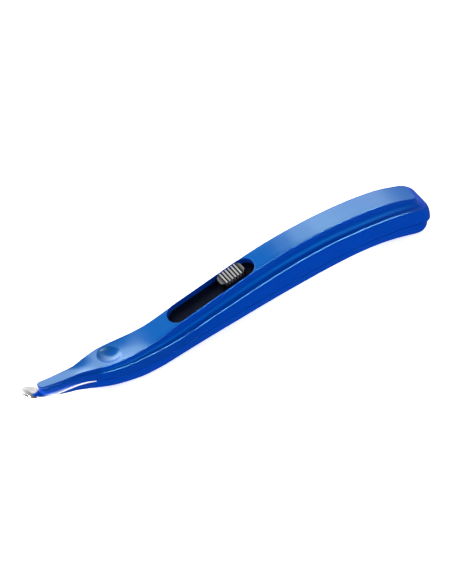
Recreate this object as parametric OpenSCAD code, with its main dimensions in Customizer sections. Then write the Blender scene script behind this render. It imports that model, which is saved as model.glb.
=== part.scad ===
// Push-style magnetic staple remover: two-shell handle, steel lifting blade,
// thumb slide that carries a magnet to and from the root of the blade.
// Millimetres. Blade tip toward -X, tail toward +X, +Z up, resting on z = 0.

/* [Handle shell] */
// Half width of the handle at the parting line
half_width = 8.9; // [7.5:0.05:11]
// Half width of the flat top panel along the handle
panel_half = 4.75; // [3.8:0.05:5.6]
// Side wall thickness of both shells
wall = 1.9; // [1.4:0.1:2.4]
// Step between the lower shell and the upper shell at the parting line
shell_step = 0.25; // [0:0.05:0.5]
// Length of the flat end of the top panel measured to its outer corner radius
panel_corner = 2.6; // [1.5:0.1:4]

/* [Finger rest] */
// Radius of the round dimple at the surface
dimple_radius = 4.5; // [3:0.1:5]
// Depth of the dimple
dimple_depth = 1.3; // [0.6:0.1:1.8]
// Position of the dimple along the handle
dimple_x = -49; // [-52:0.5:-46]

/* [Slide track] */
// Pitch of the straight slide track
track_angle = 10.3; // [8:0.1:12]
// Half width of the open slot
slot_half = 4.5; // [4.3:0.05:4.55]
// Distance from the track origin to the front end of the slot
slot_front = 18.6; // [17:0.1:20]
// Distance from the track origin to the rear end of the slot
slot_rear = 18.9; // [17:0.1:20]
// Travel of the thumb slide from the rear stop to the front stop
travel = 19.4; // [15:0.1:19.4]

/* [Thumb button] */
// Length of the button along the track
button_length = 11; // [9:0.1:12]
// Width of the button
button_width = 5.8; // [5:0.1:7]
// Height of the rib crests above the top panel
button_rise = 1.4; // [0.6:0.1:1.8]
// Number of grip ribs
rib_count = 6; // [4:1:8]
// Spacing of the grip ribs
rib_pitch = 1.26; // [1:0.02:1.5]

/* [Lifting blade] */
// Thickness of the blade steel
blade_thick = 0.65; // [0.5:0.05:1]
// Half width of the blade outside the shells
spade_half = 3.35; // [2.9:0.05:3.5]
// Length of the rounded front of the blade
tip_round = 3.3; // [2.5:0.1:4]
// Bend radius of the upturned tip
tip_radius = 16; // [14:0.5:20]

/* [Magnet and fasteners] */
// Length of the magnet along the track
magnet_length = 6; // [4:0.5:7]
// Width of the magnet
magnet_width = 7; // [5:0.5:7.4]
// Thickness of the magnet
magnet_thick = 1.6; // [1.2:0.1:1.7]
// Diameter of the shell screws
screw_d = 2.2; // [2:0.1:2.6]
// Diameter of the blade rivets
rivet_d = 1.8; // [1.5:0.1:2.2]

/* [Hidden] */
$fn = 64;

BLUE = [0.01, 0.12, 0.55];
BLACK = [0.03, 0.03, 0.035];
STEEL = [0.72, 0.73, 0.75];

// ---- smooth curves through a few control points ----
function seg(p, x, i = 0) = (i >= len(p) - 2 || x < p[i + 1][0]) ? i : seg(p, x, i + 1);
function dif(p, i) = (p[i + 1][1] - p[i][1]) / (p[i + 1][0] - p[i][0]);
function slo(p, i) = i == 0 ? dif(p, 0) : i == len(p) - 1 ? dif(p, i - 1) :
    (dif(p, i) * (p[i][0] - p[i - 1][0]) + dif(p, i - 1) * (p[i + 1][0] - p[i][0]))
    / (p[i + 1][0] - p[i - 1][0]);
function curve(p, x) = let (i = seg(p, x), h = p[i + 1][0] - p[i][0], u = (x - p[i][0]) / h,
    m = slo(p, i) * h, n = slo(p, i + 1) * h)
    p[i][1] * (2 * u * u * u - 3 * u * u + 1) + m * (u * u * u - 2 * u * u + u)
    + p[i + 1][1] * (3 * u * u - 2 * u * u * u) + n * (u * u * u - u * u);

// side-view curves: top panel, outer rim, parting line, underside
P_panel = [[-80, 13.65], [-78.6, 13.4], [-74, 12.7], [-70.5, 12.22], [-66, 11.8], [-63, 11.6],
           [-60, 11.6], [-57, 11.5], [-54, 11.3], [-50, 11.05], [-46, 10.65], [-39, 10.32],
           [-35, 10.38], [-30.5, 10.88], [-25.5, 12.05], [-21, 13.12], [-16.8, 13.97], [-8, 15.6],
           [5, 18.13], [14, 19.77], [22, 20.8], [30, 21.33], [40, 21.53], [48.5, 21.27],
           [57, 20.58], [65.6, 19.27], [70, 18.25], [74, 16.9], [78, 15.3], [82, 13.35]];
P_rim = [[-80, 12.4], [-74, 11.5], [-66, 10.65], [-60, 10.45], [-56, 10.15], [-54, 9.8],
         [-52, 9.5], [-49, 9.2], [-46, 8.86], [-42, 8.5], [-38, 8.32], [-34, 8.25], [-30, 8.3],
         [-26, 8.62], [-22, 9.2], [-18, 9.95], [-11, 11.25], [-2, 12.84], [8, 14.62], [18, 16.15],
         [28, 17.12], [38, 17.48], [46, 17.33], [56, 16.52], [66, 15.27], [71, 14.3], [75.4, 13.1],
         [80, 11.4], [85, 9.6]];
P_part = [[-80, 9.6], [-76, 8.75], [-72, 8.2], [-66, 7.6], [-60, 7.1], [-57, 7], [-55, 6.88],
          [-53.5, 6.7], [-50, 6.2], [-46, 5.8], [-42, 5.5], [-37.7, 5.37], [-33.4, 5.35],
          [-29, 5.65], [-24.8, 6], [-16, 6.6], [-7.6, 7.15], [1, 7.85], [9.8, 8.5], [18.4, 9],
          [27, 9.5], [35.7, 9.85], [44.3, 9.9], [53, 9.65], [61.5, 8.95], [70, 7.8], [74.3, 6.85],
          [78.5, 5.7], [86.2, 3.1]];
P_under = [[-74.5, 7.7], [-71.8, 6.45], [-68, 4.7], [-64, 3.25], [-60.5, 2.4], [-57.3, 2.15],
           [-54, 1.9], [-50, 1.5], [-46, 1], [-42, 0.45], [-40.5, 0.15], [-39, 0], [-32, 0],
           [-30, 0.22], [-25, 0.8], [-16.3, 1.7], [-7.6, 2.55], [1, 3.25], [9.7, 4], [18.4, 4.65],
           [27, 5.05], [35.7, 5.45], [42, 5.6], [48.7, 5.6], [53, 5.4], [57.3, 5], [61.6, 4.45],
           [65.8, 3.65], [70, 2.6], [74.2, 1.35], [77.5, 0.3], [79, 0], [82, 0], [86, 0.6]];
// plan-view curves: half widths of the top panel, of the parting line and of the rim
P_hpanel = [[-80, 1.8], [-76, 1.93], [-72, 2.15], [-68, 2.35], [-65, 2.45], [-62.8, 2.5],
            [-60, 3.25], [-57, 4.1], [-54, 4.85], [-51.6, 5.35], [-47.6, 5.65], [-43.5, 5.66],
            [-39, 5.52], [-34.8, 5.25], [-30.5, 5], [-25, 4.8], [-20, panel_half],
            [-14, panel_half], [82, panel_half]];
P_hpart = [[-80, 1.95], [-75, 2.3], [-71, 2.5], [-67, 2.78], [-63.5, 3.25], [-60, 4.3], [-57, 5.7],
           [-55, 6.6], [-53, 7.35], [-50, 8.1], [-46, 8.65], [-42, half_width - 0.05],
           [-37, half_width], [-31, half_width], [86, half_width]];
P_hrim = [[-80, 1.88], [-75, 2.14], [-71, 2.35], [-67, 2.6], [-64, 2.85], [-62, 3.2], [-60, 4],
          [-57, 5.2], [-55, 5.95], [-53, 6.5], [-50, 7.08], [-46, 7.4], [-42, 7.47], [-34, 7.4],
          [-26, 7.63], [-18, 7.97], [-10, 8.08], [-2, 8.23], [6, 8.36], [12, 8.48],
          [18, half_width - 0.35], [28, half_width - 0.35], [86, half_width - 0.35]];

function zP(x) = curve(P_panel, x);
function zR(x) = curve(P_rim, x);
function zG(x) = curve(P_part, x);
function zB(x) = max(0, curve(P_under, x));
function hP(x) = curve(P_hpanel, x);
function hG(x) = curve(P_hpart, x);
function hR(x) = curve(P_hrim, x);
function hL(x) = max(hG(x) - shell_step, 2.75);
function e(x) = min(1, (zG(x) - zB(x)) / 4.4);

// ---- closed loops with a rounded front, parallel middle and rounded tail corners ----
NF = 7;   // front stations
NM = 34;  // middle stations
NR = 5;   // tail corner stations
function stations(xa, rf, xb, rr) = concat(
    [for (k = [0:NF - 1]) let (a = 90 * (k + 0.5) / NF) [xa + rf * (1 - cos(a)), sin(a), 0]],
    [for (k = [0:NM]) [xa + rf + (xb - rr - xa - rf) * k / NM, 1, 0]],
    [for (k = [1:NR]) let (a = 90 * k / NR) [xb - rr * (1 - sin(a)), 1, rr * (1 - cos(a))]]);
// L = [front x, front rounding, tail x, tail corner radius, half width f(x), height f(x)]
function ring(L) = let (n = [for (s = stations(L[0], L[1], L[2], L[3])) let (h = L[4], z = L[5])
    [s[0], -max(0.1, h(s[0]) * s[1] - s[2]), z(s[0])]])
    concat(n, [for (i = [len(n) - 1:-1:0]) [n[i][0], -n[i][1], n[i][2]]]);

module loft(layers) {
    M = NF + NM + 1 + NR;
    N = 2 * M;
    J = len(layers);
    pts = [for (L = layers) each ring(L)];
    b = (J - 1) * N;
    polyhedron(points = pts, faces = concat(
        [for (i = [0:M - 2]) each [[i, N - 1 - i, N - 2 - i], [i, N - 2 - i, i + 1]]],
        [for (j = [0:J - 2], i = [0:N - 1]) let (k = (i + 1) % N)
            each [[j * N + i, j * N + k, (j + 1) * N + k], [j * N + i, (j + 1) * N + k, (j + 1) * N + i]]],
        [for (i = [0:M - 2]) each [[b + i, b + i + 1, b + N - 2 - i], [b + i, b + N - 2 - i, b + N - 1 - i]]]
    ), convexity = 10);
}

// ---- slide track frame: origin on the panel, +x along the track toward the tail ----
TX = -5;
TZ = 16.35;
module track() translate([TX, 0, TZ]) rotate([0, -track_angle, 0]) children();
// block from s0 to s1 along the track, t0 to t1 across it, w half width
module bar(s0, s1, w, t0, t1) translate([s0, -w, t0]) cube([s1 - s0, 2 * w, t1 - t0]);
// side-view outline extruded between y0 and y1
module side(y0, y1, pts) translate([0, y1, 0]) rotate([90, 0, 0]) linear_extrude(y1 - y0) polygon(pts);
function trackz(x, t) = TZ + (x - TX) * tan(track_angle) + t / cos(track_angle);

// ---- slide layout: distances across the track, negative is down ----
web_top = -2.6;
flange_top = -4.2;
flange_bot = -5.2;
skirt = -4.0;
rail_top = -5.4;
rib_top = -6.7;
block_front = -20.5;
block_rear = 20;
flange_rear = 16;
button_s = 9.5;
detent_s = 5;
stop_gap = 0.15;
bosses = [34, 68];
screw_seat = 1.7;
screw_len = 7.5;

// ---- blade: side-view line of its lower face, tip to contact pad ----
bend_x = -73;       // start of the upturned tip
bend_z = 8.1;       // lower face height at that point
pitch = 6;          // slope of the straight shank
tip_sweep = 28;     // extra pitch of the flat tip
tip_x = -85.5;      // front end of the blade
seat_x = -57.6;     // the shank leaves the shells here
tang_x = -45;       // bend between the tang and the contact pad
pad_end = -37.6;
pad_gap = 0.3;      // pad to magnet
tang_half = 3.3;
rivets = [-52.6, -48.2];
function pad_z(x) = trackz(x, flange_bot - pad_gap - blade_thick);
function bend(a) = [bend_x - tip_radius * (sin(a) - sin(pitch)), bend_z + tip_radius * (cos(pitch) - cos(a))];
steep = bend(pitch + tip_sweep);
low_line = concat([[tip_x, steep[1] + (steep[0] - tip_x) * tan(pitch + tip_sweep)]],
    [for (k = [9:-1:0]) bend(pitch + tip_sweep * k / 9)],
    [[-57, bend_z - (bend_x + 57) * -tan(pitch)], [tang_x, pad_z(tang_x)], [pad_end, pad_z(pad_end)]]);
function nrm(a, b) = [a[1] - b[1], b[0] - a[0]] / norm(b - a);
function shift(p, q) = [for (i = [0:len(p) - 1])
    let (u = nrm(p[max(0, i - 1)], p[max(1, i)]),
         v = nrm(p[min(len(p) - 2, i)], p[min(len(p) - 1, i + 1)]), m = (u + v) / norm(u + v))
    p[i] + m * q / (m * u)];
high_line = shift(low_line, blade_thick);
function rev(a) = [for (i = [len(a) - 1:-1:0]) a[i]];
function low_z(x) = lookup(x, low_line);
function high_z(x) = lookup(x, high_line);

// plan outline of the blade, half side, c = clearance behind the seat
function blade_side(c) = concat(
    [for (a = [0:10:90]) [tip_x + tip_round * (1 - cos(a)), spade_half * sin(a)]],
    [[-68, spade_half], [-64, 3.5], [-60, 4.3], [seat_x, 5.2], [seat_x, 5.2 + c], [-56.4, 5 + c],
     [-55, tang_half + c], [pad_end + 4 * c, tang_half + c], [pad_end + 4 * c, 0]]);
module blade_plan(c = 0) translate([0, 0, -1]) linear_extrude(40)
    polygon(concat(blade_side(c), [for (p = rev(blade_side(c))) if (p[1] > 0) [p[0], -p[1]]]));

// ================= sub-parts =================

module upper_housing() color(BLUE) {
    difference() {
        union() {
            difference() {
                // outer skin: panel, concave cove, outward rim, drafted side wall
                loft([
                    [-78.6, 1.5, 81.3, panel_corner, function(x) hP(x), function(x) zP(x)],
                    [-78.5, 1.5, 81.7, 2.9, function(x) hP(x) + (hR(x) - hP(x)) * 0.13,
                        function(x) zP(x) - (zP(x) - zR(x)) * 0.4],
                    [-78.45, 1.5, 82.5, 3.3, function(x) hP(x) + (hR(x) - hP(x)) * 0.36,
                        function(x) zP(x) - (zP(x) - zR(x)) * 0.72],
                    [-78.4, 1.5, 83.5, 3.8, function(x) hP(x) + (hR(x) - hP(x)) * 0.66,
                        function(x) zP(x) - (zP(x) - zR(x)) * 0.92],
                    [-78.3, 1.5, 84.7, 4.4, function(x) hR(x), function(x) zR(x)],
                    [-78.35, 1.5, 85.15, 4.7, function(x) (hR(x) + hG(x)) / 2, function(x) (zR(x) + zG(x)) / 2],
                    [-78.4, 1.5, 85, 5, function(x) hG(x), function(x) zG(x)]
                ]);
                // main cavity
                loft([
                    [-39, 2, 81.6, 3.6, function(x) hR(x) - 0.75 * wall, function(x) zR(x) - 1.2],
                    [-39, 2, 83.2, 4, function(x) hR(x) - wall, function(x) zG(x) - 1.5]
                ]);
                // pocket under the rear panel
                loft([
                    [24, 1, 77.5, 2, function(x) hP(x) - 1.5, function(x) zP(x) - 1.8],
                    [24, 1, 78.5, 2, function(x) hP(x) - 1.5, function(x) zR(x) - 1.6]
                ]);
                track() {
                    bar(block_front - travel - stop_gap, block_rear + stop_gap, slot_half - 0.05, -16, web_top + 1);
                    bar(block_front - travel - stop_gap, flange_rear + 1, 6.2, -16, skirt);
                }
            }
            // screw bosses
            for (x = bosses) translate([x, 0, zG(x)]) cylinder(d = 5.4, h = zP(x) - 1.4 - zG(x));
        }
        // open slot
        track() {
            bar(-slot_front + slot_half, slot_rear - slot_half, slot_half, -3, 4);
            for (s = [-slot_front + slot_half, slot_rear - slot_half])
                translate([s, 0, -3]) cylinder(r = slot_half, h = 7);
        }
        // finger dimple
        r = (dimple_radius * dimple_radius + dimple_depth * dimple_depth) / (2 * dimple_depth);
        translate([dimple_x, 0, zP(dimple_x) + r - dimple_depth]) sphere(r = r, $fn = 96);
        // blade seat under the nose, then the tang relief inside
        side(-12, 12, concat([[-95, -5], [-95, high_line[0][1]]], [for (p = high_line) if (p[0] < seat_x) p],
            [[seat_x, high_z(seat_x)], [seat_x, -5]]));
        intersection() {
            side(-12, 12, concat([[seat_x - 0.1, -5], [seat_x - 0.1, high_z(seat_x)]],
                [for (p = high_line) if (p[0] > seat_x) p], [[pad_end, -5]]));
            blade_plan(0.05);
        }
        // pilot holes
        for (x = bosses) translate([x, 0, zG(x) - 1])
            cylinder(d = screw_d, h = zB(x) + screw_seat + screw_len + 1.8 - zG(x) + 1);
    }
}

module lower_housing() color(BLUE) {
    difference() {
        union() {
            difference() {
                loft([
                    [-74.5, 0.8, 84.2, 5.2, function(x) hL(x), function(x) zG(x)],
                    [-74.5, 0.8, 83.9, 5.4, function(x) hL(x) - 0.1, function(x) zB(x) + 2.2 * e(x)],
                    [-74.4, 0.8, 83.2, 5, function(x) hL(x) - 0.8 * e(x), function(x) zB(x) + 0.7 * e(x)],
                    [-74.3, 0.8, 81.2, 4, function(x) hL(x) - 2.3 * e(x), function(x) zB(x)]
                ]);
                loft([
                    [-39, 2, 81.5, 4, function(x) hL(x) - wall, function(x) zG(x) + 3],
                    [-39, 2, 80.5, 4, function(x) hL(x) - wall - 0.5, function(x) zB(x) + 1.4]
                ]);
                // room for the front of the slide
                track() bar(block_front - travel - stop_gap, -20, 6.2, flange_bot - pad_gap, 5);
                // blade seat: open above the lower face of the blade
                side(-12, 12, concat([[-95, 40], [-95, low_line[0][1]]], [for (p = low_line) if (p[0] < seat_x) p],
                    [[seat_x, low_z(seat_x)], [seat_x, 40]]));
                intersection() {
                    side(-12, 12, concat([[seat_x - 0.1, 40], [seat_x - 0.1, low_z(seat_x)]],
                        [for (p = low_line) if (p[0] > seat_x) p], [[pad_end, 40]]));
                    blade_plan(0.05);
                }
            }
            // slide rails
            for (y = [-6.1, 4.7]) side(y, y + 1.4, concat(
                [for (x = [-34.5:5:10.5]) [x, zB(x) + 0.9]], [[10.5, trackz(10.5, rail_top)],
                [-34.5, trackz(-34.5, rail_top)]]));
            // detent rib with a notch for each stop
            side(-1, 1, concat([for (x = [-24:4:8]) [x, zB(x) + 0.9]],
                [for (s = [12.5, detent_s + 1.2, detent_s, detent_s - 1.2, detent_s - travel + 1.2,
                    detent_s - travel, detent_s - travel - 1.2, -19])
                    let (t = (s == detent_s || s == detent_s - travel) ? rib_top - 0.4 : rib_top)
                    [TX + s * cos(track_angle) - t * sin(track_angle),
                     TZ + s * sin(track_angle) + t * cos(track_angle)]]));
            for (x = bosses) translate([x, 0, zB(x) + 0.8]) cylinder(d = 6.4, h = zG(x) - zB(x) - 0.8);
        }
        for (x = bosses) {
            translate([x, 0, -1]) cylinder(d = screw_d + 0.2, h = 20);
            translate([x, 0, -1]) cylinder(d = 4.4, h = zB(x) + screw_seat + 1);
        }
        for (x = rivets) rivet_at(x) translate([0, 0, -2.1]) cylinder(d = rivet_d, h = 6);
    }
}

// frame on the upper face of the tang at station x
tang_dip = atan((low_z(-57) - pad_z(tang_x)) / (tang_x + 57));
module rivet_at(x) translate([x, 0, low_z(x)]) rotate([0, tang_dip, 0]) translate([0, 0, blade_thick]) children();

module lifting_blade() color(STEEL) difference() {
    intersection() {
        side(-8, 8, concat(low_line, rev(high_line)));
        blade_plan();
    }
    for (x = rivets) rivet_at(x) translate([0, 0, -3]) cylinder(d = rivet_d + 0.06, h = 6);
}

module blade_rivets() color(STEEL) for (x = rivets) rivet_at(x) {
    translate([0, 0, -2.1]) cylinder(d = rivet_d, h = 2.1);
    cylinder(d1 = 3.3, d2 = 2.4, h = 0.5);
}

module shell_screws() color(STEEL) for (x = bosses) translate([x, 0, zB(x) + screw_seat]) difference() {
    union() {
        translate([0, 0, -1.3]) cylinder(d = 4, h = 1.3);
        cylinder(d = screw_d, h = screw_len);
        translate([0, 0, screw_len]) cylinder(d1 = screw_d, d2 = 0.6, h = 1.2);
    }
    translate([-1.4, -0.25, -1.4]) cube([2.8, 0.5, 0.8]);
    translate([-0.25, -1.4, -1.4]) cube([0.5, 2.8, 0.8]);
}

module slide_block() color(BLACK) track() difference() {
    union() {
        bar(block_front, block_rear, 4.2, flange_bot, web_top);
        bar(block_front, flange_rear, 5.9, flange_bot, flange_top);
    }
    // magnet and yoke pocket, open downward
    bar(block_front + 0.3, block_front + 0.3 + magnet_length, magnet_width / 2, flange_bot - 1,
        flange_bot + magnet_thick + 0.5);
    // button pin socket
    bar(button_s - 2, button_s + 2, 1.5, web_top - 1.4, web_top + 1);
    // leaf spring seat
    bar(detent_s - 4.1, detent_s + 4.1, 1.6, flange_bot - 1, flange_bot + 0.3);
}

module thumb_button() color(BLACK) track() {
    n = rib_count;
    r0 = button_s - (n - 1) * rib_pitch / 2;
    hb = button_width / 2;
    // body below the ribs
    bar(button_s - button_length / 2 + 1.6, button_s + button_length / 2 - 1.6, hb, web_top, button_rise - 0.7);
    for (d = [-1, 1]) intersection() {
        bar(button_s - button_length / 2, button_s + button_length / 2, hb, web_top, button_rise - 0.15);
        translate([button_s + d * (button_length / 2 - 3.1), 0, web_top])
            cylinder(r = 3.1, h = button_rise - 0.15 - web_top);
        bar(d < 0 ? button_s - button_length / 2 : button_s + (n - 1) * rib_pitch / 2 + 0.6,
            d < 0 ? r0 - 0.6 : button_s + button_length / 2, hb, web_top, button_rise);
    }
    // grip ribs, rounded crests
    for (k = [0:n - 1]) translate([r0 + k * rib_pitch, 0, 0]) {
        bar(-0.32, 0.32, hb - 0.05, button_rise - 0.9, button_rise - 0.32);
        translate([0, -hb + 0.05, button_rise - 0.32]) rotate([-90, 0, 0])
            cylinder(r = 0.32, h = 2 * hb - 0.1, $fn = 24);
    }
    // snap pin
    bar(button_s - 1.95, button_s + 1.95, 1.45, web_top - 1.3, web_top + 0.1);
}

module magnet() color([0.6, 0.6, 0.62]) track()
    bar(block_front + 0.35, block_front + 0.25 + magnet_length, magnet_width / 2 - 0.05,
        flange_bot, flange_bot + magnet_thick);

module magnet_yoke() color([0.45, 0.46, 0.48]) track()
    bar(block_front + 0.35, block_front + 0.25 + magnet_length, magnet_width / 2 - 0.05,
        flange_bot + magnet_thick, flange_bot + magnet_thick + 0.48);

module detent_spring() color(STEEL) track() {
    c = 4;    // half chord
    s = 1.4;  // bow
    r = (c * c + s * s) / (2 * s);
    a = asin(c / r);
    translate([detent_s, 1.4, flange_bot + 0.08]) rotate([90, 0, 0]) linear_extrude(2.8)
        polygon(concat([for (k = [-8:8]) [r * sin(a * k / 8), (r - s) - r * cos(a * k / 8)]],
            [for (k = [8:-1:-8]) [(r - 0.25) * sin(a * k / 8), (r - s) - (r - 0.25) * cos(a * k / 8)]]));
}

upper_housing();
lower_housing();
lifting_blade();
blade_rivets();
shell_screws();
slide_block();
thumb_button();
magnet();
magnet_yoke();
detent_spring();
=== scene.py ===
import bpy, bmesh, math
import numpy as np
from mathutils import Matrix, Vector


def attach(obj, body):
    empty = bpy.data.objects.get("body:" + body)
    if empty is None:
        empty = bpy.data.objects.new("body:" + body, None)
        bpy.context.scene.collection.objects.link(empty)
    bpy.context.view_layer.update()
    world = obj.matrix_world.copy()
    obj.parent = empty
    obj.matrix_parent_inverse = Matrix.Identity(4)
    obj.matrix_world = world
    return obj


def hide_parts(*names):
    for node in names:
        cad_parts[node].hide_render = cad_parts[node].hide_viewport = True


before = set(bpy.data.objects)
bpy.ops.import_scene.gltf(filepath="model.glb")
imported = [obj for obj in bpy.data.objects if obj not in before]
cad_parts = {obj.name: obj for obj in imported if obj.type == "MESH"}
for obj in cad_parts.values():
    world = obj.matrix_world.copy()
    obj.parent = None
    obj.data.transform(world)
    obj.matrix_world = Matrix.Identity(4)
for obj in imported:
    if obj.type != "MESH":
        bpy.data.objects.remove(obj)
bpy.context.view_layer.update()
MM = 0.001

# ------------------------------------------------------------------ curves (mm)
STEP = 0.1                                       # spacing of the curve samples
GX = np.arange(-100.0, 100.0, STEP)
EXTEND = 30                                      # straight run added past each end of a curve


def smooth(points, sigma=1.6):
    """A soft curve through control points: linear, then blurred over sigma mm."""
    p = np.array(points, float)
    x = np.concatenate([[p[0, 0] - EXTEND], p[:, 0], [p[-1, 0] + EXTEND]])
    s0 = (p[1, 1] - p[0, 1]) / (p[1, 0] - p[0, 0])
    s1 = (p[-1, 1] - p[-2, 1]) / (p[-1, 0] - p[-2, 0])
    y = np.concatenate([[p[0, 1] - EXTEND * s0], p[:, 1], [p[-1, 1] + EXTEND * s1]])
    v = np.interp(GX, x, y)
    r = int(4 * sigma / STEP)
    k = np.exp(-0.5 * (np.arange(-r, r + 1) * STEP / sigma) ** 2)
    v = np.convolve(np.pad(v, r, mode="edge"), k / k.sum(), mode="valid")
    return lambda q: np.interp(q, GX, v)


HALF, PANEL = 8.9, 4.75                          # half widths of the handle and its top panel
# heights of the panel, rim, parting line and underside along X, then the half widths
z_panel = smooth([(-80, 13.65), (-78.6, 13.4), (-74, 12.7), (-70.5, 12.22), (-66, 11.8), (-63, 11.6),
                  (-60, 11.6), (-57, 11.5), (-54, 11.3), (-50, 11.05), (-46, 10.65), (-39, 10.32),
                  (-35, 10.38), (-30.5, 10.88), (-25.5, 12.05), (-21, 13.12), (-16.8, 13.97), (-8, 15.6),
                  (5, 18.13), (14, 19.77), (22, 20.8), (30, 21.33), (40, 21.53), (48.5, 21.27), (57, 20.58),
                  (65.6, 19.27), (70, 18.25), (74, 16.9), (78, 15.3), (82, 13.35)], 2.0)
z_rim = smooth([(-80, 12.4), (-74, 11.5), (-66, 10.65), (-60, 10.45), (-56, 10.15), (-54, 9.8), (-52, 9.5),
                  (-49, 9.2), (-46, 8.86), (-42, 8.5), (-38, 8.32), (-34, 8.25), (-30, 8.3), (-26, 8.62),
                  (-22, 9.2), (-18, 9.95), (-11, 11.25), (-2, 12.84), (8, 14.62), (18, 16.15), (28, 17.12),
                  (38, 17.48), (46, 17.33), (56, 16.52), (66, 15.27), (71, 14.3), (75.4, 13.1), (80, 11.4),
                  (85, 9.6)], 2.0)
z_part = smooth([(-80, 9.6), (-76, 8.75), (-72, 8.2), (-66, 7.6), (-60, 7.1), (-57, 7), (-55, 6.88),
                 (-53.5, 6.7), (-50, 6.2), (-46, 5.8), (-42, 5.5), (-37.7, 5.35), (-33.4, 5.33),
                 (-29, 5.63), (-24.8, 6), (-16, 6.6), (-7.6, 7.15), (1, 7.85), (9.8, 8.5), (18.4, 9.02),
                 (27, 9.52), (35.7, 9.87), (44.3, 9.92), (53, 9.67), (61.5, 8.97), (70, 7.82),
                 (74.3, 6.85), (78.5, 5.7), (86.2, 3.1)], 1.8)
z_under_raw = smooth([(-74.5, 7.7), (-71.8, 6.45), (-68, 4.7), (-64, 3.25), (-60.5, 2.4), (-57.3, 2.15),
                      (-54, 1.9), (-50, 1.5), (-46, 1), (-42, 0.4), (-39.5, -0.02), (-32, -0.02),
                      (-30, 0.2), (-25, 0.8), (-16.3, 1.7), (-7.6, 2.55), (1, 3.25), (9.7, 4),
                      (18.4, 4.65), (27, 5.07), (35.7, 5.47), (42, 5.62), (48.7, 5.62), (53, 5.42),
                      (57.3, 5), (61.6, 4.45), (65.8, 3.65), (70, 2.6), (74.2, 1.3), (77.5, 0.2),
                      (79, -0.03), (82, -0.03), (86, 0.6)], 1.3)
h_panel = smooth([(-80, 1.8), (-76, 1.93), (-72, 2.15), (-68, 2.35), (-65, 2.45), (-62.8, 2.5), (-60, 3.25),
                  (-57, 4.1), (-54, 4.85), (-51.6, 5.35), (-47.6, 5.65), (-43.5, 5.66), (-39, 5.52),
                  (-34.8, 5.25), (-30.5, 5), (-25, 4.8), (-20, PANEL), (82, PANEL)], 0.9)
h_part = smooth([(-80, 1.95), (-75, 2.3), (-71, 2.5), (-67, 2.78), (-63.5, 3.2), (-60, 4.25), (-57, 5.7),
                  (-55, 6.6), (-53, 7.4), (-50, 8.15), (-46, 8.7), (-42, HALF - 0.02), (-37, HALF),
                  (86, HALF)], 1.3)

h_rim = smooth([(-80, 1.88), (-75, 2.14), (-71, 2.35), (-67, 2.6), (-64, 2.85), (-62, 3.2), (-60, 4),
                (-57, 5.2), (-55, 5.95), (-53, 6.5), (-50, 7.08), (-46, 7.4), (-42, 7.47), (-34, 7.4),
                (-26, 7.63), (-18, 7.97), (-10, 8.08), (-2, 8.23), (6, 8.36), (12, 8.48), (18, HALF - 0.35),
                (86, HALF - 0.35)], 1.2)

# blade in side view: thickness, pitch of the run, sweep and radius of the upturned tip; the bend; the tip's end
THICK, PITCH, SWEEP, R_TIP = 0.65, math.radians(6), math.radians(28), 16.0
BX, BZ, TIP_X = -73.0, 8.1, -85.5
# slide track: angle, and the point where distances along it start
TRACK = math.radians(10.3)
TX, TZ = -5.0, 16.35
sx, sn = math.cos(TRACK), math.sin(TRACK)
PAD = -5.5                                       # underside of the slide's room, across the track


def pad_z(x):
    """Lower face of the blade's tang under the slide."""
    return TZ + (x - TX) * math.tan(TRACK) + (PAD - THICK) / math.cos(TRACK)


ARC_STEPS, RUN, RUN_STEPS = 28, 16, 14           # upturned tip, then the straight run behind the bend
arc = [(BX - R_TIP * (math.sin(a) - math.sin(PITCH)), BZ + R_TIP * (math.cos(PITCH) - math.cos(a)))
       for a in (PITCH + SWEEP * k / ARC_STEPS for k in range(ARC_STEPS, -1, -1))]
tip = [(arc[0][0] - k, arc[0][1] + k * math.tan(PITCH + SWEEP))
       for k in np.linspace(arc[0][0] - TIP_X, 0.3, 18)]
run = [(BX + (RUN * k / RUN_STEPS), BZ - RUN * k / RUN_STEPS * math.tan(PITCH))
       for k in range(1, RUN_STEPS + 1)]
low = np.array(tip + arc + run)


def blade_low(x):
    return np.interp(x, low[:, 0], low[:, 1])


def blade_top(x):
    s = np.interp(x, low[:, 0], np.gradient(low[:, 1], low[:, 0]))
    return blade_low(x) + THICK * np.sqrt(1 + s * s)


SEAT, SEAT_END = -57.3, -57.01                   # where the blade leaves the shells, and its last sample
GROOVE, GROOVE_MIN, LIP_GAP = 0.2, 0.01, 0.03    # halves of the gaps between the shells


def z_upper_edge(x):
    x = np.asarray(x, float)
    return np.where(x < SEAT, np.maximum(z_part(x), blade_top(np.minimum(x, SEAT_END))), z_part(x))


def z_lower_edge(x):
    x = np.asarray(x, float)
    return np.where(x < SEAT, np.minimum(z_part(x), blade_low(np.minimum(x, SEAT_END))), z_part(x))


def past_seat(x):
    """Divisor that falls from very large to 1 behind the blade's seat: a value divided by it fades in there."""
    return 1 + np.exp(np.clip((SEAT + 1.5 - np.asarray(x, float)) / 0.4, -60, 60))


def gap(x):
    """Half of the open parting groove; it closes on the blade."""
    return GROOVE_MIN + GROOVE / past_seat(x)


def lip_gap(x):
    """Half of the gap between the shells inside the groove."""
    return LIP_GAP + 0 * np.asarray(x, float)


def z_under(x):
    return np.maximum(0.0, z_under_raw(x))


INSET, LOW_MIN = 0.25, 2.75                      # step in under the upper shell, least half width


def h_lower(x):
    return np.maximum(h_part(x) - INSET, LOW_MIN)


# ------------------------------------------------------------------ mesh helpers
def material_slot(obj, mat, slot, body, *nodes):
    """Material and body of a piece, hiding the CAD nodes that it stands in for. slot is not used."""
    obj.data.materials.clear()
    obj.data.materials.append(mat)
    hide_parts(*nodes)
    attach(obj, body)


def shade(o, sharp):
    for p in o.data.polygons:
        p.use_smooth = True
    o.data.set_sharp_from_angle(angle=math.radians(sharp))


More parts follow.
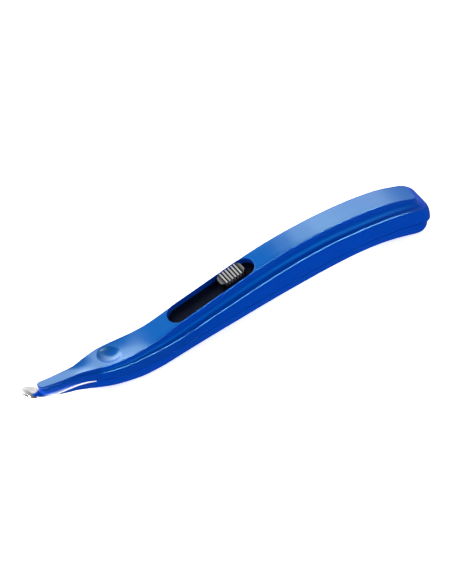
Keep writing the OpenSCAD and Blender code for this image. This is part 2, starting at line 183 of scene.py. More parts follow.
def make(name, verts, faces, mirror=False, sharp=40.0, merge=2e-6):
    """Mesh object from points in mm. mirror adds the +Y half of a -Y half."""
    v = np.array(verts, float) * MM
    f = [tuple(q) for q in faces]
    if mirror:
        n = len(v)
        v = np.vstack([v, v * [1, -1, 1]])
        f = f + [tuple(n + i for i in reversed(q)) for q in f]
    me = bpy.data.meshes.new(name)
    me.from_pydata([tuple(p) for p in v], [], f)
    bm = bmesh.new()
    bm.from_mesh(me)
    bmesh.ops.remove_doubles(bm, verts=bm.verts, dist=merge)
    bmesh.ops.dissolve_degenerate(bm, edges=bm.edges, dist=1e-7)
    bmesh.ops.recalc_face_normals(bm, faces=bm.faces)
    bm.to_mesh(me)
    bm.free()
    o = bpy.data.objects.new(name, me)
    bpy.context.scene.collection.objects.link(o)
    shade(o, sharp)
    return o


def apply_modifiers(o):
    """Bake the modifiers of an object into its mesh."""
    dg = bpy.context.evaluated_depsgraph_get()
    me = bpy.data.meshes.new_from_object(o.evaluated_get(dg))
    old = o.data
    o.modifiers.clear()
    o.data = me
    bpy.data.meshes.remove(old)


def cut(o, tool, how="DIFFERENCE"):
    """Boolean of o with a closed tool, which is then removed."""
    m = o.modifiers.new("b", "BOOLEAN")
    m.operation, m.solver, m.object = how, "EXACT", tool
    apply_modifiers(o)
    bpy.data.objects.remove(tool)


def cos_sin(degrees):
    return math.cos(math.radians(degrees)), math.sin(math.radians(degrees))


def blend_lin(a, b, t):
    return a + (b - a) * t


NF, NR, NE = 12, 10, 10                          # loop points on the nose, tail corner and tail end


def loop(us, xa, rf, xb, rr, h, z):
    """Near half of a plan loop from the nose to the middle of the tail: (x, y, z) rows."""
    a = np.radians(90.0 * np.arange(NF) / NF)
    fx = xa + rf * (1 - np.cos(a))
    fy = h(fx) * np.sin(a)
    mx = xa + rf + (xb - rr - xa - rf) * us
    b = np.radians(90.0 * np.arange(1, NR + 1) / NR)
    rx = xb - rr * (1 - np.sin(b))
    ry = h(rx) - rr * (1 - np.cos(b))
    ey = (float(h(xb)) - rr) * (1 - np.arange(1, NE + 1) / NE)
    x = np.concatenate([fx, mx, rx, np.full(NE, xb)])
    y = np.concatenate([fy, h(mx), ry, ey])
    return np.stack([x, -np.maximum(y, 0), z(x) + 0 * x], 1)


def skin(loops):
    """Quads between successive loops."""
    n = len(loops[0])
    verts = np.vstack(loops)
    faces = [(j * n + i, j * n + i + 1, (j + 1) * n + i + 1, (j + 1) * n + i)
             for j in range(len(loops) - 1) for i in range(n - 1)]
    return verts, faces


def fill(edge, inner, cols, lift):
    """Grid from the inner line (y = -inner) out to an edge loop, without its tail end row."""
    m = len(edge) - NE
    e = edge[:m]
    rows = []
    for k in range(cols + 1):
        y = -(inner + (-e[:, 1] - inner) * k / cols)
        x = e[:, 0]
        rows.append(np.stack([x, y, lift(x, y)], 1))
    verts = np.vstack(rows)
    faces = [(k * m + i, (k + 1) * m + i, (k + 1) * m + i + 1, k * m + i + 1)
             for k in range(cols) for i in range(m - 1)]
    return verts, faces


def join(*parts):
    """One vertex and face list from several."""
    v, f, n = [], [], 0
    for a, b in parts:
        v.append(a)
        f += [tuple(n + i for i in q) for q in b]
        n += len(a)
    return np.vstack(v), f


# ------------------------------------------------------------------ upper shell
SLOT_R, LIP = 4.5, 0.2                           # slot radius and the rounding of its edge
S0, S1 = -18.6 + SLOT_R, 18.9 - SLOT_R           # centres of the slot's round ends
# panel outline in plan: nose end and its radius, tail end and its radius; then the rim and the parting edge
XA_P, RF_P, XB_P, RR_P = -78.6, 1.5, 81.3, 2.6
RIM_NOSE, RIM_TAIL, COVE_R, RIM_R = -78.3, 84.7, 4.3, 4.4
PART_NOSE, PART_TAIL, PART_R = -78.4, 85.0, 5
PANEL_EDGE, RIM_EDGE, PART_EDGE, FINE_EDGE = 0.32, 0.6, 0.14, 0.03   # edge roundings
CROWN, TAIL_LEAN = 1.1, 1.45                     # bulge of the tail wall, turn of the rim's rounding there (rad)
RO = SLOT_R + LIP
th = np.radians(np.linspace(0, 90, 19))
N_SIDE = 24                                      # points along the slot's straight side
s_slot = np.concatenate([S0 - RO * np.cos(th), np.linspace(S0, S1, N_SIDE + 2)[1:-1],
                         (S1 + RO * np.cos(th))[::-1]])
nx = np.concatenate([-np.cos(th), np.zeros(N_SIDE), np.cos(th)[::-1]])
ny = np.concatenate([np.sin(th), np.ones(N_SIDE), np.sin(th)[::-1]])
y_slot = np.concatenate([RO * np.sin(th), np.full(N_SIDE, RO), (RO * np.sin(th))[::-1]])
x_slot = TX + s_slot * sx
DX, DR, DD = -49.0, 4.5, 1.3                     # dimple: place, radius and depth
# panel columns: fine over the dimple, on the slot's own points beside the slot, coarse elsewhere
fine = np.arange(DX - DR - 0.6, DX + DR + 0.7, 0.2)
rest = np.concatenate([np.arange(XA_P + RF_P, fine[0] - 0.3, 0.6),
                       np.arange(fine[-1] + 0.4, x_slot[0] - 0.3, 0.6),
                       np.arange(x_slot[-1] + 0.5, XB_P - RR_P - 0.3, 0.8), [XB_P - RR_P]])
xs = np.sort(np.concatenate([fine, rest, x_slot]))
us = (xs - (XA_P + RF_P)) / (XB_P - RR_P - XA_P - RF_P)
i_slot = NF + np.searchsorted(xs, x_slot - 1e-9)


def dimple(x, y):
    """Depth of the round dimple, a ball's cap with a softened edge."""
    r = (DR * DR + DD * DD) / (2 * DD)
    rho2 = (x - DX) ** 2 + y ** 2
    s = np.sqrt(np.maximum(r * r - np.minimum(rho2, r * r * 0.98), 1e-6)) - (r - DD)
    k = 0.045
    return -k * np.logaddexp(0, np.clip(s / k, -60, 60))


def panel_z(x, y):
    """Panel height with the dimple and the shallow finger rest either side of it."""
    dish = (0.4 * np.exp(-((x + 60.5) / 4.0) ** 2) + 0.44 * np.exp(-((x + 45.5) / 6.0) ** 2)) * \
        np.maximum(1 - (y / h_panel(x)) ** 2, 0)
    return z_panel(x) + dimple(x, y) - dish


def upper_loops():
    """Loops of the upper shell from the panel's edge over cove, rim and wall to the inside of the joint."""
    L = []
    f, g, e = PANEL_EDGE, RIM_EDGE, PART_EDGE
    for q in np.linspace(0, 90, 6):                                      # panel edge
        c, s = cos_sin(q)
        L.append(loop(us, XA_P + f * (1 - s), RF_P, XB_P - f * (1 - s), RR_P,
                      lambda x, s=s: h_panel(x) - f * (1 - s),
                      lambda x, c=c: z_panel(x) - f * (1 - c)))
    for q in np.linspace(8, 90, 12):                                     # cove
        c, s = cos_sin(q)
        o, d = 1 - c, s ** 1.08
        L.append(loop(us, blend_lin(XA_P, RIM_NOSE, q / 90), RF_P, blend_lin(XB_P, RIM_TAIL - g, o),
                      blend_lin(RR_P, COVE_R, o),
                      lambda x, o=o: h_panel(x) + (h_rim(x) - g - h_panel(x)) * o,
                      lambda x, d=d: z_panel(x) - f - (z_panel(x) - f - z_rim(x)) * d))

    def lean(x):
        """Angle over which the rim's rounding turns, from level to the slope of the wall."""
        return np.pi / 2 - np.arctan2(h_part(x) - h_rim(x), np.maximum(z_rim(x) - z_upper_edge(x), 0.5))

    def edge(x):
        """Rounding of the parting edge, finer beside the blade."""
        return FINE_EDGE + (e - FINE_EDGE) / past_seat(x)

    for t in np.linspace(0.125, 1, 8):                                   # rim
        L.append(loop(us, RIM_NOSE, RF_P, RIM_TAIL - g * (1 - math.sin(t * TAIL_LEAN)), RIM_R,
                      lambda x, t=t: h_rim(x) - g * (1 - np.sin(t * lean(x))),
                      lambda x, t=t: z_rim(x) - g * (1 - np.cos(t * lean(x)))))
    for t in np.linspace(0.12, 1, 8):                                    # side wall, crowned at the tail
        L.append(loop(us, blend_lin(RIM_NOSE, PART_NOSE, t), RF_P,
                      blend_lin(RIM_TAIL, PART_TAIL, t) + CROWN * t * (1 - t), blend_lin(RIM_R, PART_R, t),
                      lambda x, t=t: blend_lin(h_rim(x) - g * (1 - np.sin(lean(x))), h_part(x), t),
                      lambda x, t=t: blend_lin(z_rim(x) - g * (1 - np.cos(lean(x))),
                                               z_upper_edge(x) + gap(x) + edge(x), t)))
    for q in (30, 60, 90):                                               # parting edge
        c, s = cos_sin(q)
        L.append(loop(us, PART_NOSE + e * (1 - c), RF_P, PART_TAIL - e * (1 - c), PART_R,
                      lambda x, c=c: h_part(x) - edge(x) * (1 - c),
                      lambda x, s=s: z_upper_edge(x) + gap(x) + edge(x) * (1 - s)))
    for w, rise in ((0.5, gap), (0.54, lip_gap), (1.3, lip_gap)):        # groove's roof, then the inner lip
        L.append(loop(us, PART_NOSE + w, RF_P, PART_TAIL - w, PART_R - w / 2,
                      lambda x, w=w: np.maximum(h_part(x) - w, 0.05),
                      lambda x, rise=rise: z_upper_edge(x) + rise(x)))
    return L


loops = upper_loops()
inner = np.zeros(len(loops[0]) - NE)
inner[i_slot] = y_slot
top = fill(loops[0], inner, 28, panel_z)         # the grid starts at the slot's edge
CLEAR = 2.45                                     # the slot's wall stops this far down, above the slide block
ring = []
prof = [(LIP * math.sin(math.radians(q)), LIP * (1 - math.cos(math.radians(q)))) for q in range(0, 91, 18)]
prof += [(LIP, depth) for depth in (0.5, 1.2, 1.9, 2.4)]
for off, dep in prof:
    s = s_slot - nx * off
    y = y_slot - ny * off
    x = TX + s * sx
    dep = np.minimum(dep, CLEAR + (z_panel(x) - TZ - (x - TX) * math.tan(TRACK)) * sx)
    ring.append(np.stack([x + dep * sn, -y, z_panel(x) - dep * sx], 1))
wall = skin(ring)
upper = make("upper_shell", *join(top, skin(loops), wall), mirror=True, sharp=60)


# ------------------------------------------------------------------ lower shell
# outline in plan: nose end and radius; tail end and radius at the top, the middle and the base
LOW_NOSE, LOW_NOSE_R = -74.5, 0.8
LOW_TOP, LOW_MID, LOW_BASE = (84.2, 5.2), (83.9, 5.4), (81.2, 4)
CAV_NOSE, CAV_NOSE_R, CAV_TAIL, CAV_R = -39, 2, 80.5, 4                  # the same for the cavity
WALL_TOP, WALL_FOOT = 1.9, 2.4                   # side wall thickness at the joint and at the floor
FLOOR, CORNER, LOW_EDGE = 1.4, 2.2, 0.02         # floor thickness, bottom corner and top edge roundings
FULL_HEIGHT = 4.4                                # shell height from which the roundings are full


def lower_loops(us):
    """Loops of the lower shell from the cavity floor over the joint face and side wall to the underside."""
    L = []
    e = LOW_EDGE

    def size(x):
        """Roundings shrink with the shell's height toward the nose."""
        return np.clip((z_lower_edge(x) - z_under(x)) / FULL_HEIGHT, 0.02, 1.0)

    for t in (0.0, 0.5, 1.0):                                            # cavity wall
        L.append(loop(us, CAV_NOSE, CAV_NOSE_R, CAV_TAIL - 1 + t, CAV_R,
                      lambda x, t=t: h_lower(x) - WALL_FOOT + (WALL_FOOT - WALL_TOP) * t,
                      lambda x, t=t: blend_lin(z_under(x) + FLOOR, z_lower_edge(x) - lip_gap(x), t)))
    for t, drop in ((0.2, lip_gap), (0.4, lip_gap), (0.6, lip_gap), (0.8, lip_gap),
                    (0.82, gap), (0.93, gap), (1.0, gap)):               # inner lip, then the groove's floor
        L.append(loop(us, blend_lin(CAV_NOSE, LOW_NOSE + e, t), blend_lin(CAV_NOSE_R, LOW_NOSE_R, t),
                      blend_lin(CAV_TAIL, LOW_TOP[0] - e, t), blend_lin(CAV_R, LOW_TOP[1], t),
                      lambda x, t=t: h_lower(x) - blend_lin(WALL_TOP, e, t),
                      lambda x, drop=drop: z_lower_edge(x) - drop(x)))
    for q in (30, 60, 90):                                               # top edge
        c, s = cos_sin(q)
        L.append(loop(us, LOW_NOSE + e * (1 - s), LOW_NOSE_R, LOW_TOP[0] - e * (1 - s), LOW_TOP[1],
                      lambda x, s=s: h_lower(x) - e * (1 - s),
                      lambda x, c=c: z_lower_edge(x) - gap(x) - e * (1 - c) * size(x)))
    for t in (0.25, 0.5, 0.75, 1.0):                                     # side wall
        L.append(loop(us, LOW_NOSE, LOW_NOSE_R, blend_lin(LOW_TOP[0], LOW_MID[0], t),
                      blend_lin(LOW_TOP[1], LOW_MID[1], t), lambda x, t=t: h_lower(x) - 0.1 * t,
                      lambda x, t=t: blend_lin(z_lower_edge(x) - gap(x) - e * size(x),
                                               z_under(x) + CORNER * size(x), t)))
    for q in (12, 24, 36, 48, 60, 72, 82, 90):                           # bottom corner
        c, s = cos_sin(q)
        L.append(loop(us, LOW_NOSE + 0.2 * s, LOW_NOSE_R, LOW_MID[0] - (LOW_MID[0] - LOW_BASE[0]) * (1 - c),
                      blend_lin(LOW_MID[1], LOW_BASE[1], 1 - c),
                      lambda x, c=c: h_lower(x) - 0.1 - CORNER * (1 - c) * size(x),
                      lambda x, s=s: z_under(x) + CORNER * (1 - s) * size(x)))
    return L


low_loops = lower_loops(np.linspace(0, 1, 210))
zero = np.zeros(len(low_loops[0]) - NE)
floor_in = fill(low_loops[0], zero, 6, lambda x, y: z_under(x) + FLOOR)
floor_out = fill(low_loops[-1], zero, 6, lambda x, y: z_under(x) + 0 * y)
floor_in = (floor_in[0], [tuple(reversed(q)) for q in floor_in[1]])
lower = make("lower_shell", *join(floor_in, skin(low_loops), floor_out), mirror=True, sharp=60)


def rod(name, x, r, z0, z1, seg=48):
    """Closed upright cylinder used as a cutting tool."""
    a = np.linspace(0, 2 * math.pi, seg, endpoint=False)
    v = [(x + r * math.cos(t), r * math.sin(t), z) for z in (z0, z1) for t in a]
    f = [tuple(reversed(range(seg))), tuple(range(seg, 2 * seg))]
    f += [(i, (i + 1) % seg, seg + (i + 1) % seg, seg + i) for i in range(seg)]
    return make(name, v, f)


SCREWS, RECESS_R, RECESS = (34.0, 68.0), 2.25, 1.32                      # places, radius and depth
for bx in SCREWS:
    cut(lower, rod("tool", bx, RECESS_R, -2, float(z_under(bx)) + RECESS))
# room for the front of the slide: a box along the track, from the end stop back into the cavity
ROOM_T, ROOM_Y, ROOM_S = (PAD, 5.0), (-6.2, 6.2), (-40.05, -20.0)
box = [(TX + s * sx - t * sn, y, TZ + s * sn + t * sx) for t in ROOM_T for y in ROOM_Y for s in ROOM_S]
cut(lower, make("tool", box, [(0, 1, 3, 2), (4, 6, 7, 5), (0, 4, 5, 1),
                              (2, 3, 7, 6), (0, 2, 6, 4), (1, 5, 7, 3)]))
shade(lower, 40)

# ------------------------------------------------------------------ blade
TIP_ROUND = 3.3
blade_width = smooth([(-90, 3.35), (-68, 3.35), (-64, 3.5), (-60, 4.3), (-57.6, 5.2), (-56.4, 5.0), (-55, 3.3),
                      (-30, 3.3)], 0.5)


def blade_half(x):
    """Half width of the blade, with its round tip."""
    d = np.clip((x - TIP_X) / TIP_ROUND, 0.0, 1.0)
    return blade_width(x) * np.sqrt(np.maximum(1 - (1 - d) ** 2, 0))


TANG_END = -37.6
start = [(TIP_X + d, float(np.interp(TIP_X + d, low[:, 0], low[:, 1])))
         for d in (0.0, 0.02, 0.06, 0.13, 0.24, 0.38)]
path = np.array(start + [p for p in low.tolist() if p[0] > TIP_X + 0.45] +
                [(x, 0) for x in (-56.5, -56, -55.5, -55, -54, -50, -45.6, -45, -44.4, -41, TANG_END)])
tang = smooth([(-60, BZ - 13 * math.tan(PITCH)), (-57, BZ - RUN * math.tan(PITCH)), (-45, pad_z(-45)),
               (TANG_END, pad_z(TANG_END))], 0.35)
behind = path[:, 0] > -58.2
path[behind, 1] = tang(path[behind, 0])
tan = np.gradient(path, axis=0)
tan /= np.linalg.norm(tan, axis=1)[:, None]
nor = np.stack([-tan[:, 1], tan[:, 0]], 1)
w = np.maximum(blade_half(path[:, 0]), 0.12)
d = path[:, 0] - TIP_X
th_b = THICK * np.clip(0.75 + 0.25 * d / 3.0, 0.75, 1.0)
BLADE_EDGE = 0.13                                # edge rounding, less where the blade is thin or narrow
sect = []
for cy, cz, base in ((1, 0, -90), (1, 1, 0), (-1, 1, 90), (-1, 0, 180)):
    for q in (0, 30, 60, 90):
        sect.append((cy, cz, *cos_sin(base + q)))
bv, bf = [], []
for i in range(len(path)):
    f = min(BLADE_EDGE, 0.35 * th_b[i], 0.45 * w[i])
    for cy, cz, c, s in sect:
        y = cy * (w[i] - f) + f * c
        q = (th_b[i] - f if cz else f) + f * s
        bv.append((path[i, 0] + nor[i, 0] * q, y, path[i, 1] + nor[i, 1] * q))
k = len(sect)
for i in range(len(path) - 1):
    bf += [(i * k + j, i * k + (j + 1) % k, (i + 1) * k + (j + 1) % k, (i + 1) * k + j) for j in range(k)]
bf += [tuple(range(k)), tuple(range((len(path) - 1) * k, len(path) * k))]
blade = make("blade", bv, bf, sharp=38)

# ------------------------------------------------------------------ thumb button
TM = Matrix(((sx, 0, -sn, TX * MM), (0, 1, 0, 0), (sn, 0, sx, TZ * MM), (0, 0, 0, 1)))
# button: centre along the track, length, rib height, rib count and pitch, half width, end radius
BS, BL, RISE, NRIB, PIT, BH, END_R = 9.5, 11.0, 1.4, 6, 1.26, 2.9, 3.1
BASE, GROOVE_T = -2.6, -0.1                      # underside of the button and floor of the grooves
CAP_T, FRONT_R, REAR_R = 1.26, 1.15, 1.0         # height of the caps and rounding of their outer edges
RIB_FOOT, RIB_TOP = 0.36, 0.31                   # half widths of a rib
front, rear = BS - BL / 2, BS + BL / 2
r0 = BS - (NRIB - 1) * PIT / 2
rl = r0 + (NRIB - 1) * PIT


def prism(points, lift, reverse):
    """Closed prism. lift places a point of the outline at end 0 or 1; reverse is the end whose face is turned."""
    n = len(points)
    v = [lift(p, end) for end in (0, 1) for p in points]
    caps = [tuple(range(n)), tuple(range(n, 2 * n))]
    caps[reverse] = tuple(reversed(caps[reverse]))
    if reverse:
        return v, caps + [(i, n + i, n + (i + 1) % n, (i + 1) % n) for i in range(n)]
    return v, caps + [(i, (i + 1) % n, n + (i + 1) % n, n + i) for i in range(n)]


# side view: front cap, ribs with round crests, rear cap
side = [(front, BASE), (front, 0.1)]
side += [(front + FRONT_R * (1 - c), 0.1 + FRONT_R * s) for c, s in map(cos_sin, range(15, 91, 15))]
side += [(r0 - 0.72, CAP_T), (r0 - 0.66, 1.1), (r0 - 0.62, GROOVE_T)]
for i in range(NRIB):
    mid = r0 + i * PIT
    side += [(mid - RIB_FOOT, GROOVE_T), (mid - RIB_TOP, RISE - 0.28)]
    side += [(mid - 0.29 * c, RISE - 0.25 + 0.25 * s) for c, s in map(cos_sin, range(20, 161, 20))]
    side += [(mid + RIB_TOP, RISE - 0.28), (mid + RIB_FOOT, GROOVE_T)]
side += [(rl + 0.62, GROOVE_T), (rl + 0.66, 1.1), (rl + 0.72, CAP_T)]
side += [(rear - REAR_R + REAR_R * s, CAP_T - REAR_R + REAR_R * c) for c, s in map(cos_sin, range(0, 91, 15))]
side += [(rear, BASE)]
v, f = prism(side, lambda p, end: (p[0], (2 * end - 1) * (BH + 0.3), p[1]), 1)
button = make("thumb_pad", v, f, merge=1e-7)
# plan view, used to trim the button: straight sides and arcs at the ends
lim = math.degrees(math.asin(BH / END_R))
plan = [(cx + sgn * END_R * math.cos(math.radians(a)), sgn * END_R * math.sin(math.radians(a)))
        for sgn, cx in ((-1, front + END_R), (1, rear - END_R)) for a in np.linspace(-lim, lim, 25)]
v, f = prism(plan, lambda p, end: (*p, (2 * end - 1) * -BASE), 0)
cut(button, make("tool", v, f), "INTERSECT")
shade(button, 40)
m = button.modifiers.new("bevel", "BEVEL")
m.width, m.segments, m.limit_method, m.angle_limit = 0.1 * MM, 3, "ANGLE", math.radians(35)
m.harden_normals = True
apply_modifiers(button)
button.matrix_world = TM


# ------------------------------------------------------------------ materials
def nodes_of(name):
    """New material, its node tree and its Principled node."""
    m = bpy.data.materials.new(name)
    m.use_nodes = True
    nt = m.node_tree
    return m, nt, nt.nodes["Principled BSDF"]


def noise(nt, scale, detail):
    tc = nt.nodes.new("ShaderNodeTexCoord")
    n = nt.nodes.new("ShaderNodeTexNoise")
    n.inputs["Scale"].default_value = scale
    n.inputs["Detail"].default_value = detail
    n.inputs["Roughness"].default_value = 0.5
    nt.links.new(tc.outputs["Object"], n.inputs["Vector"])
    return n


def mapped(nt, src, a, b):
    """Noise mapped onto the range a to b."""
    r = nt.nodes.new("ShaderNodeMapRange")
    r.inputs["From Min"].default_value, r.inputs["From Max"].default_value = 0.3, 0.7
    r.inputs["To Min"].default_value, r.inputs["To Max"].default_value = a, b
    nt.links.new(src, r.inputs["Value"])
    return r.outputs["Result"]


def ramp(nt, src, c0, c1):
    """Noise mapped onto a run of colour from c0 to c1."""
    r = nt.nodes.new("ShaderNodeValToRGB")
    first, last = r.color_ramp.elements
    first.position, last.position = 0.3, 0.7
    first.color, last.color = (*c0, 1), (*c1, 1)
    nt.links.new(src, r.inputs["Fac"])
    return r.outputs["Color"]


def bump(nt, bsdf, src, strength, distance):
    b = nt.nodes.new("ShaderNodeBump")
    b.inputs["Strength"].default_value, b.inputs["Distance"].default_value = strength, distance
    nt.links.new(src, b.inputs["Height"])
    nt.links.new(b.outputs["Normal"], bsdf.inputs["Normal"])


def plastic(name, c0, c1, r0, r1, spec, grain, depth, tint=(1, 1, 1, 1)):
    """Moulded plastic: colour and roughness vary slightly, with a fine grain in the surface."""
    m, nt, p = nodes_of(name)
    broad = noise(nt, 60, 2)
    fine_n = noise(nt, grain, 3)
    nt.links.new(ramp(nt, broad.outputs["Fac"], c0, c1), p.inputs["Base Color"])
    nt.links.new(mapped(nt, noise(nt, 220, 3).outputs["Fac"], r0, r1), p.inputs["Roughness"])
    p.inputs["Specular IOR Level"].default_value = spec
    p.inputs["Specular Tint"].default_value = tint
    bump(nt, p, fine_n.outputs["Fac"], 0.25, depth)
    return m


def metal(name, c0, c1, r0, r1, stretch=(1, 1, 1), depth=2e-6):
    """Metal with a fine, optionally stretched grain."""
    m, nt, p = nodes_of(name)
    p.inputs["Metallic"].default_value = 1.0
    tc = nt.nodes.new("ShaderNodeTexCoord")
    mp = nt.nodes.new("ShaderNodeMapping")
    mp.inputs["Scale"].default_value = stretch
    n = nt.nodes.new("ShaderNodeTexNoise")
    n.inputs["Scale"].default_value, n.inputs["Detail"].default_value = 300, 4
    nt.links.new(tc.outputs["Object"], mp.inputs["Vector"])
    nt.links.new(mp.outputs["Vector"], n.inputs["Vector"])
    nt.links.new(ramp(nt, n.outputs["Fac"], c0, c1), p.inputs["Base Color"])
    nt.links.new(mapped(nt, n.outputs["Fac"], r0, r1), p.inputs["Roughness"])
    bump(nt, p, n.outputs["Fac"], 0.2, depth)
    return m


COVE_TINT = (0.0, 0.3, 0.8, 1)
blue = plastic("blue_gloss", (0.0, 0.050, 0.41), (0.0, 0.054, 0.435), 0.07, 0.10, 0.35, 900, 2e-6,
               (0.2, 0.62, 1.0, 1))
blue_cove = plastic("blue_satin_cove", (0.0, 0.050, 0.43), (0.0, 0.055, 0.455), 0.36, 0.44, 0.1, 1200, 3e-6,
                    COVE_TINT)
# nose: satin finish, and a darker blue than the shell: the darker colour is painted shade
blue_nose_painted_shade = plastic("blue_satin_nose_painted_shade", (0.0, 0.042, 0.355), (0.0, 0.046, 0.375), 0.36, 0.44, 0.1, 1200, 3e-6,
                    COVE_TINT)
# top panel: its lighter, greener blue than the walls is painted light, the top catching more light; its specular
# finish differs too
blue_panel_painted_light = plastic("blue_matte_panel_painted_light", (0.0, 0.094, 0.395), (0.0, 0.100, 0.42), 0.09, 0.12, 0.46, 1400, 3e-6,
                     (0.62, 1.0, 0.88, 1))


def soften_finger_rest(material):
    """Add roughness toward the nose, so that the finger rest has a softer sheen than the rest of the panel."""
    nt = material.node_tree
    rough = nt.nodes["Principled BSDF"].inputs["Roughness"]
    base = rough.links[0].from_socket
    place = nt.nodes.new("ShaderNodeSeparateXYZ")
    nt.links.new(nt.nodes.new("ShaderNodeTexCoord").outputs["Object"], place.inputs[0])
    extra = nt.nodes.new("ShaderNodeMapRange")
    extra.interpolation_type = "SMOOTHSTEP"
    for socket, value in zip(("From Min", "From Max", "To Min", "To Max"), (-0.050, -0.030, 0.11, 0.0)):
        extra.inputs[socket].default_value = value
    nt.links.new(place.outputs["X"], extra.inputs["Value"])
    total = nt.nodes.new("ShaderNodeMath")
    nt.links.new(base, total.inputs[0])
    nt.links.new(extra.outputs["Result"], total.inputs[1])
    nt.links.new(total.outputs[0], rough)


soften_finger_rest(blue_panel_painted_light)
black = plastic("black_satin", (0.002, 0.002, 0.002), (0.004, 0.004, 0.004), 0.16, 0.22, 0.6, 1800, 4e-6)
# grey crest colour on the black button's ribs: a painted highlight standing in for the light the rib tops reflect
rib_crest_painted_highlight = plastic("black_rib_crest", (0.26, 0.26, 0.27), (0.32, 0.32, 0.33), 0.25, 0.35, 0.6, 1800, 4e-6)
slide_mat = plastic("black_slide", (0.0001, 0.0002, 0.003), (0.0002, 0.0004, 0.005), 0.5, 0.6, 0.05, 1500, 6e-6,
                    (0.3, 0.5, 1.0, 1))
steel = metal("polished_steel", (0.62, 0.62, 0.63), (0.68, 0.68, 0.69), 0.03, 0.07, (1, 12, 1), 4e-7)
# blade sides: rougher ground finish, and a near-white, mostly non-metal colour that is a painted reflection of
# the white surroundings
ground_and_reflection = metal("ground_edge_painted_reflection", (0.88, 0.88, 0.88), (0.94, 0.94, 0.94), 0.45, 0.6, (1, 12, 1), 1e-6)
ground_and_reflection.node_tree.nodes["Principled BSDF"].inputs["Metallic"].default_value = 0.15
zinc = metal("zinc_steel", (0.55, 0.55, 0.57), (0.68, 0.68, 0.69), 0.25, 0.4)
nickel = metal("nickel", (0.62, 0.6, 0.57), (0.72, 0.7, 0.67), 0.12, 0.22)
spring_mat = metal("spring_steel", (0.5, 0.5, 0.52), (0.62, 0.62, 0.64), 0.2, 0.35, (1, 8, 1))

# ends of the satin nose on either shell, whose darker blue is painted shade, of the cove's finish, and of the
# blade's ground sides, whose near-white colour is a painted reflection; all in mm
NOSE_UPPER, NOSE_LOWER, COVE_END, GROUND_REFLECTION_END = -55.5, -58.5, 83.6, -81
material_slot(upper, blue, "blue_shell", "handle", "upper_housing")
for mat in (blue_panel_painted_light, blue_cove, blue_nose_painted_shade):
    upper.data.materials.append(mat)
for q in upper.data.polygons:
    x, y, z = (q.center[i] / MM for i in range(3))
    on_panel = abs(y) < h_panel(x) - 0.3 and x > XA_P + 0.35 and abs(z - panel_z(x, y)) < 0.05
    above_rim = z > z_rim(x) - 0.02 and abs(y) < h_rim(x) - 0.58
    # panel faces get the lighter blue: painted light on the top
    if on_panel:
        q.material_index = 1
    # nose faces get the darker blue: painted shade
    elif x < NOSE_UPPER:
        q.material_index = 3
    elif above_rim and (abs(y) > h_panel(x) + 0.01 or x > XB_P) and x < COVE_END:
        q.material_index = 2
material_slot(lower, blue, "blue_shell", "handle", "lower_housing")
lower.data.materials.append(blue_nose_painted_shade)
# nose faces of the lower shell get the darker blue: painted shade
for q in lower.data.polygons:
    if q.center.x / MM < NOSE_LOWER:
        q.material_index = 1
material_slot(blade, steel, "polished_steel", "handle", "lifting_blade")
blade.data.materials.append(ground_and_reflection)
# side faces get the near-white edge material: painted reflection
for q in blade.data.polygons:
    if abs(q.normal.y) > 0.6 and q.center.x / MM > GROUND_REFLECTION_END:
        q.material_index = 1
material_slot(button, black, "black_button", "slide", "thumb_button")
# rib-top faces get the grey crest material: painted highlight
button.data.materials.append(rib_crest_painted_highlight)
for q in button.data.polygons:
    s, _, t = (q.center[i] / MM for i in range(3))
    if t > RISE - 0.27 and abs(s - BS) < (NRIB - 1) * PIT / 2 + 0.4:
        q.material_index = 1
for node, mat in (("slide_block", slide_mat), ("magnet", nickel), ("magnet_yoke", zinc),
                  ("detent_spring", spring_mat), ("blade_rivets", zinc), ("shell_screws", zinc)):
    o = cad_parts[node]
    o.data.materials.clear()
    o.data.materials.append(mat)

# ------------------------------------------------------------------ stage, light, camera
FLOOR_HALF, FLOOR_Z = 4, -0.00005                # m
me = bpy.data.meshes.new("floor")
me.from_pydata([(x * FLOOR_HALF, y * FLOOR_HALF, FLOOR_Z) for x, y in ((-1, -1), (1, -1), (1, 1), (-1, 1))],
               [], [(0, 1, 2, 3)])
floor = bpy.data.objects.new("floor", me)
bpy.context.scene.collection.objects.link(floor)
fm, _, fp = nodes_of("floor_white")
fp.inputs["Base Color"].default_value = (0.9, 0.9, 0.9, 1)
fp.inputs["Roughness"].default_value = 0.9
fp.inputs["Specular IOR Level"].default_value = 0.1
fp.inputs["Emission Color"].default_value = (1, 1, 1, 1)
fp.inputs["Emission Strength"].default_value = 0.7
me.materials.append(fm)

world = bpy.data.worlds.new("studio")
bpy.context.scene.world = world
world.use_nodes = True
wt = world.node_tree
bg = wt.nodes["Background"]
bg.inputs["Color"].default_value = (1, 1, 1, 1)


def wrange(src, f0, f1, t0, t1):
    """Smooth step of src from t0 to t1 between f0 and f1."""
    r = wt.nodes.new("ShaderNodeMapRange")
    r.interpolation_type = "SMOOTHSTEP"
    for k, v in zip(("From Min", "From Max", "To Min", "To Max"), (f0, f1, t0, t1)):
        r.inputs[k].default_value = v
    wt.links.new(src, r.inputs["Value"])
    return r.outputs["Result"]


def wmath(op, *values):
    """Math node on sockets and floats."""
    m = wt.nodes.new("ShaderNodeMath")
    m.operation = op
    for k, v in enumerate(values):
        if isinstance(v, float):
            m.inputs[k].default_value = v
        else:
            wt.links.new(v, m.inputs[k])
    return m.outputs[0]


# a white sweep: bright bands at middle height behind the object, dim overhead and in front
wc = wt.nodes.new("ShaderNodeTexCoord")
ws = wt.nodes.new("ShaderNodeSeparateXYZ")
wt.links.new(wc.outputs["Generated"], ws.inputs[0])
ramp_z = wt.nodes.new("ShaderNodeValToRGB")
PEAK, FILL = 8.0, 0.05                           # strength at full white, and everywhere
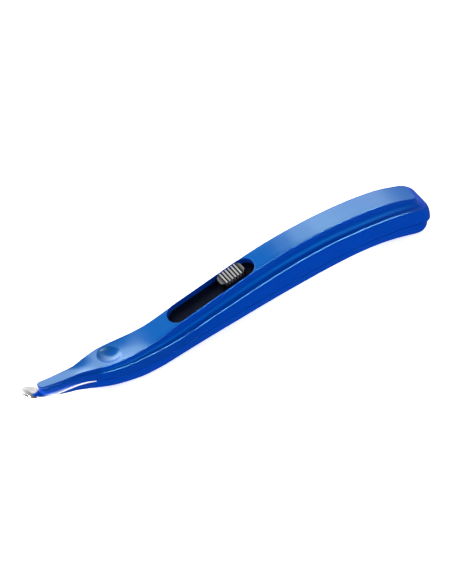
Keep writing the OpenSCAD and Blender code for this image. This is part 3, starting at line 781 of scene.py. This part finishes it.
# height of the direction (-1 down, 1 up) and strength
stops = [(-1.0, 0.05), (-0.35, 0.05), (-0.12, 0.8), (0.0, 1.0), (0.26, 1.9), (0.45, 3.6), (0.60, 4.1),
         (0.65, 5.0), (0.69, 6.2), (0.712, 2.9), (0.728, 0.45), (0.736, 0.05), (0.78, 0.05), (1.0, 0.3)]
band = ramp_z.color_ramp.elements
for k, (height, power) in enumerate([stops[0], stops[-1]] + stops[1:-1]):
    e = band[k] if k < 2 else band.new(0.5 + 0.5 * height)
    e.position = 0.5 + 0.5 * height
    e.color = (power / PEAK, power / PEAK, power / PEAK, 1)
wt.links.new(wmath("MULTIPLY_ADD", ws.outputs["Z"], 0.5, 0.5), ramp_z.inputs["Fac"])
behind_w = wmath("ADD", wrange(ws.outputs["Y"], -0.4, 0.5, 0.12, 1.0),
                 wrange(ws.outputs["Y"], 0.7, 0.93, 0.0, 1.6))
tail_side = wmath("MULTIPLY", wrange(ws.outputs["X"], 0.55, 0.85, 0.0, 0.9),
                  wrange(ws.outputs["Z"], 0.02, 0.12, 0.0, 1.0))
behind_w = wmath("MULTIPLY", behind_w, wmath("SUBTRACT", 1.0, tail_side))
sweep = wmath("MULTIPLY", wmath("MULTIPLY", ramp_z.outputs["Color"], behind_w), PEAK)
wt.links.new(wmath("ADD", sweep, FILL), bg.inputs["Strength"])


def area(name, where, size, power):
    """White rectangular light aimed at the middle of the object."""
    l = bpy.data.lights.new(name, "AREA")
    l.shape, l.size, l.size_y = "RECTANGLE", size[0], size[1]
    l.energy = power
    o = bpy.data.objects.new(name, l)
    bpy.context.scene.collection.objects.link(o)
    o.location = where
    o.rotation_euler = (Vector((0, 0, 0.01)) - Vector(where)).to_track_quat("-Z", "Y").to_euler()
    return o


area("front_soft", (0.38, -0.80, 1.0), (0.5, 0.4), 3.0)
strip = area("front_strip", (0.50, -0.78, 0.97), (1.3, 0.3), 120.0)    # draws the rim's highlight
strip.visible_diffuse = False
floor.visible_glossy = False

sc = bpy.context.scene
sc.view_settings.view_transform = "Standard"
sc.view_settings.look = "None"

# camera: direction and roll, then distance (m), point aimed at (mm), focal length and sensor (mm)
az, el, roll = math.radians(-23.878), math.radians(43.975), math.radians(-10.298)
DISTANCE, AIM, LENS, SENSOR = 2.5, (1.034, 0, 11.701), 423.785959, 36
right = Vector((math.cos(az), math.sin(az), 0))
back = Vector((math.sin(az) * math.cos(el), -math.cos(az) * math.cos(el), math.sin(el)))
up = back.cross(right)
r2 = right * math.cos(roll) + up * math.sin(roll)
u2 = up * math.cos(roll) - right * math.sin(roll)
pos = Vector(AIM) * MM + back * DISTANCE
cd = bpy.data.cameras.new("camera")
cd.lens, cd.sensor_width = LENS, SENSOR
cam = bpy.data.objects.new("camera", cd)
sc.collection.objects.link(cam)
cam.matrix_world = Matrix((*((r2[i], u2[i], back[i], pos[i]) for i in range(3)), (0, 0, 0, 1)))
sc.camera = cam

bpy.context.view_layer.update()
